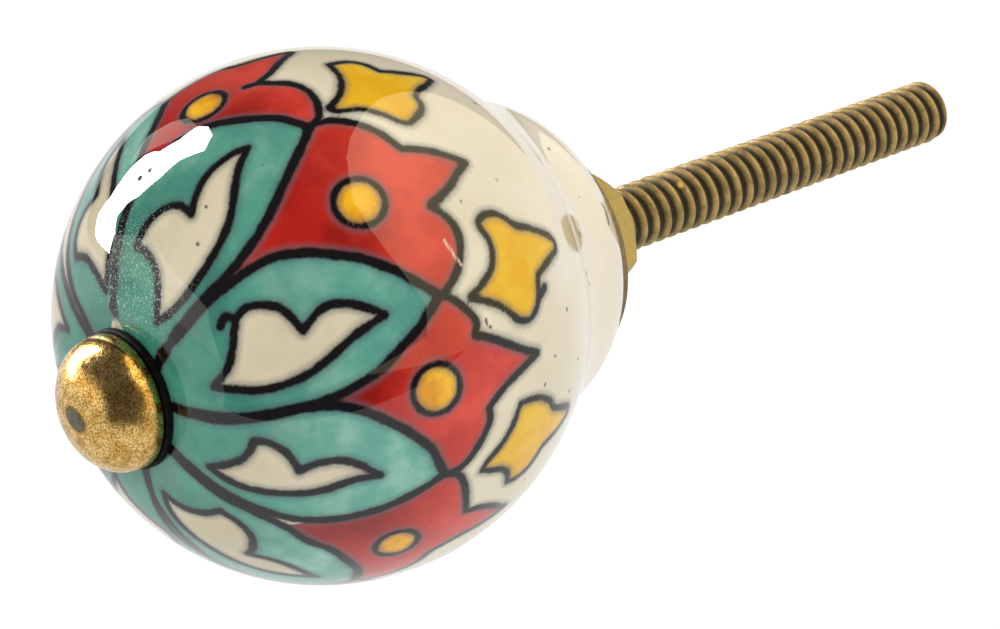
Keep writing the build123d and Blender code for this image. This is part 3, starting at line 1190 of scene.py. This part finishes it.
def backdrop():
    """A world that is white to the camera, soft fill on the surfaces and dim in the glaze."""
    world = bpy.data.worlds.new("studio")
    bpy.context.scene.world = world
    world.use_nodes = True
    tree = world.node_tree
    tree.nodes.clear()
    glows = []
    for strength in (SOFT_FILL, 1.0, ROOM_GLOW):
        glow = tree.nodes.new("ShaderNodeBackground")
        glow.inputs["Color"].default_value = (1, 1, 1, 1)
        glow.inputs["Strength"].default_value = strength
        glows.append(glow.outputs["Background"])
    fill, white, room = glows
    path = tree.nodes.new("ShaderNodeLightPath").outputs
    surface = mixed_shader(tree, path["Is Camera Ray"], fill, white)
    surface = mixed_shader(tree, path["Is Glossy Ray"], surface, room)
    output = tree.nodes.new("ShaderNodeOutputWorld")
    wire(tree, surface, output.inputs["Surface"])


def studio():
    """The floor, the backdrop, the reflecting cards and the lamps."""
    floor()
    backdrop()
    light_screen("right_screen", RIGHT_SCREEN, GOLDEN, distance=1.2)
    light_screen("left_screen", LEFT_SCREEN, WARM_WHITE, distance=1.25)
    light_screen("side_strip", SIDE_STRIP, WARM_WHITE, distance=1.25)
    flat_card("strobe", [studio_point(a, e, distance=1.2) for a, e in STROBE], STROBE_GLOW)
    white_sheet(azimuth=26, reach=0.125, side=3, side_end=-57)
    for lamp in LAMPS:
        soft_lamp(*lamp)


def camera():
    """The photo's camera."""
    data = bpy.data.cameras.new("camera")
    data.lens = CAMERA_LENS
    data.sensor_width = 36
    data.clip_start, data.clip_end = 0.01, 10
    view = add_object("camera", data)
    view.location = CAMERA_POSITION * MM
    aim_inwards(view, CAMERA_AZIMUTH, CAMERA_ELEVATION)
    bpy.context.scene.camera = view


def dress_nut(material):
    """Gives the CAD nut its brass and soft edges."""
    nut = next(o for o in bpy.data.objects if o.name == "hex_nut" or o.get("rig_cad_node") == "hex_nut")
    nut.data.materials.clear()
    nut.data.materials.append(material)
    soften = nut.modifiers.new("soft edges", "BEVEL")
    soften.width = 0.12 * MM
    soften.segments = 2
    soften.limit_method = "ANGLE"
    soften.angle_limit = radians(25)


# Each brass's last colour is its edges' rubbed wear and painted highlight
nut_brass = dull_brass("nut_brass", srgb(126, 112, 72), srgb(96, 86, 54), srgb(180, 156, 88))
washer_brass = dull_brass("washer_brass", srgb(130, 114, 76), srgb(98, 86, 56), srgb(164, 144, 96))

place(ceramic_body(), painted_glaze(), "ceramic_body")
place(domed_cap(), antique_brass(), "domed_cap")
place(cushion_ring(), black_rubber(), "cushion_washer")
place(threaded_shank(), thread_brass(), "threaded_rod")
place(brass_washer(), washer_brass, "back_washer")
dress_nut(nut_brass)
studio()
camera()

bpy.context.scene.view_settings.view_transform = "Standard"
